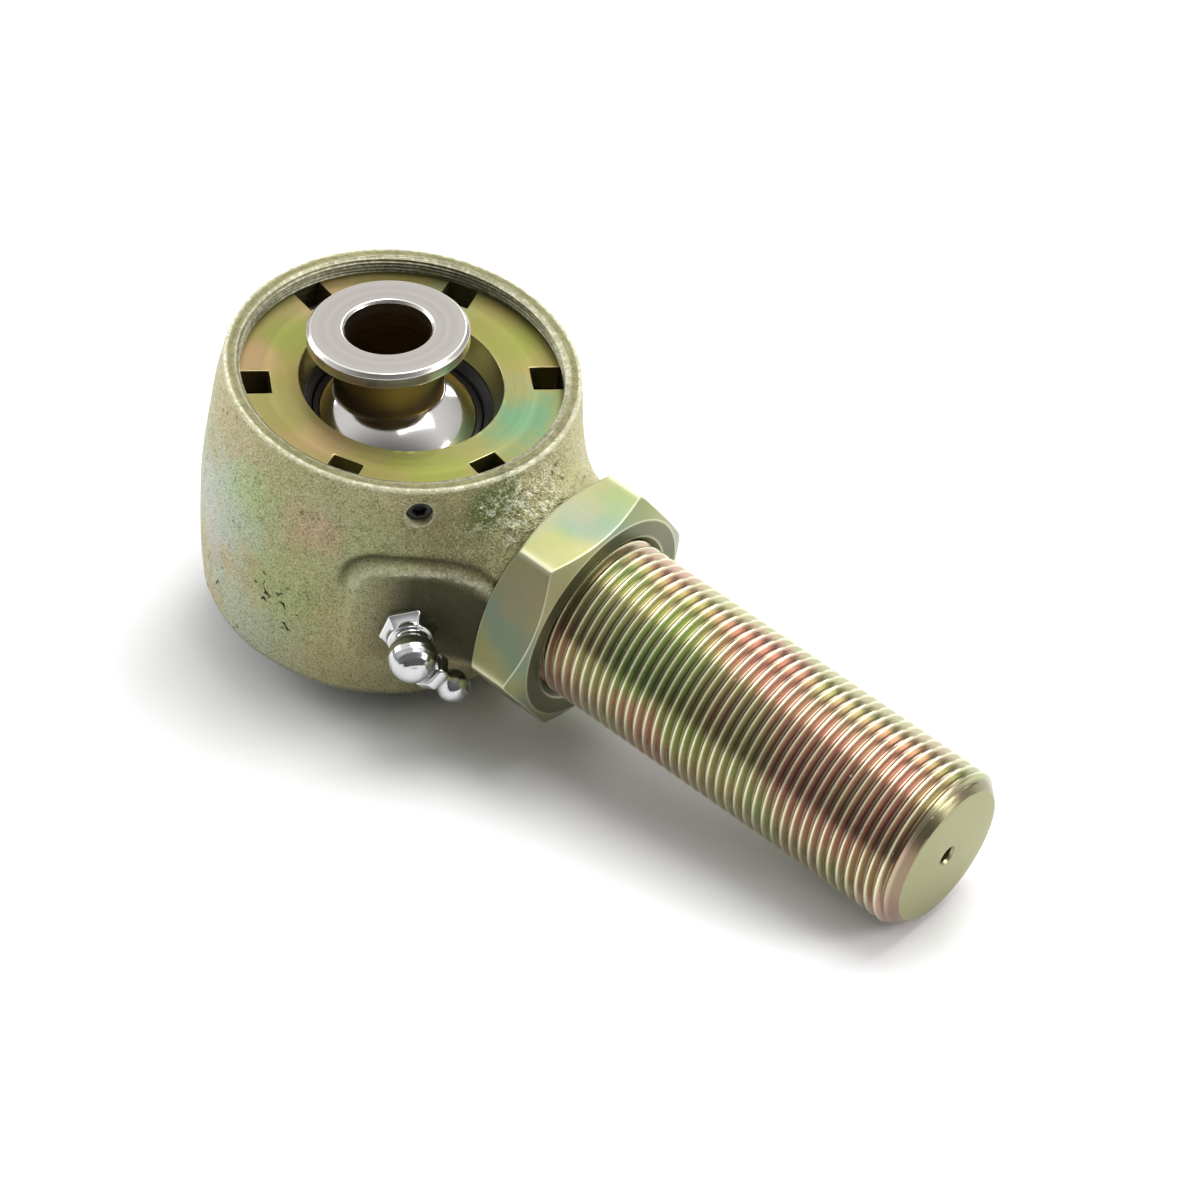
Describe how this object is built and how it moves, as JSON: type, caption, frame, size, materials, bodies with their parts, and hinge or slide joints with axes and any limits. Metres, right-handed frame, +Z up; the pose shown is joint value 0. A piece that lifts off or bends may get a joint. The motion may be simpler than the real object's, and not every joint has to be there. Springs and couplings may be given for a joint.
{
  "type": "rod end bearing",
  "caption": "Rebuildable threaded rod end with an adjusting ring, tilting ball, flanged bolt spacers, jam nut and grease fitting.",
  "frame": {"origin": "centre of the ball, halfway along the bolt bore", "axes": "+Z up along the bolt bore, +X from the ball towards the shank seen from above; the shank leans down about Y by 7.82 degrees, as it lies on a bench"},
  "size_m": [0.1684, 0.0698, 0.0666],
  "materials": {
    "housing_zinc": "satin",
    "ring_zinc": "satin",
    "nut_zinc": "satin",
    "chrome_ball": "polished",
    "spacer_steel": "satin",
    "black_polymer": "satin",
    "fitting_zinc": "polished",
    "black_oxide": "matte"
  },
  "bodies": {
    "housing": {"housing": "housing_zinc", "grease_elbow": "fitting_zinc", "grease_nipple": "fitting_zinc", "nipple_spring": "fitting_zinc"},
    "races": {"upper_race": "black_polymer", "lower_race": "black_polymer"},
    "ball": {"ball": "chrome_ball"},
    "upper_spacer": {"upper_spacer": "spacer_steel"},
    "lower_spacer": {"lower_spacer": "spacer_steel"},
    "adjuster_ring": {"adjuster_ring": "ring_zinc"},
    "set_screw": {"set_screw": "black_oxide"},
    "jam_nut": {"jam_nut": "nut_zinc"},
    "nipple_ball": {"nipple_ball": "chrome_ball"}
  },
  "joints": [
    {"name": "race_turn", "type": "hinge", "parent": "housing", "child": "races", "pos_m": [0, 0, 0], "axis": [0.1361, 0, 0.9907], "continuous": true},
    {"name": "ball_tilt", "type": "hinge", "parent": "races", "child": "ball", "pos_m": [0, 0, 0], "axis": [0, 1, 0], "range_deg": [-10.68, 26.32]},
    {"name": "upper_spacer_spin", "type": "hinge", "parent": "ball", "child": "upper_spacer", "pos_m": [0, 0, 0], "axis": [0, 0, 1], "continuous": true},
    {"name": "lower_spacer_spin", "type": "hinge", "parent": "ball", "child": "lower_spacer", "pos_m": [0, 0, 0], "axis": [0, 0, 1], "continuous": true},
    {"name": "ring_turn", "type": "hinge", "parent": "housing", "child": "adjuster_ring", "pos_m": [0.00272, 0, 0.01981], "axis": [0.1361, 0, 0.9907], "range_deg": [0, 360]},
    {"name": "set_screw_out", "type": "slide", "parent": "housing", "child": "set_screw", "axis": [0.7362, -0.6691, -0.1012], "range_m": [0, 0.006]},
    {"name": "nut_travel", "type": "slide", "parent": "housing", "child": "jam_nut", "axis": [0.9907, 0, -0.1361], "range_m": [0, 0.0762]},
    {"name": "nipple_ball_press", "type": "slide", "parent": "housing", "child": "nipple_ball", "axis": [-0.4015, -0.5523, 0.7306], "range_m": [0, 0.0008], "stiffness_N_per_m": 150, "springref_m": -0.0004, "deforming": ["nipple_spring"]}
  ]
}
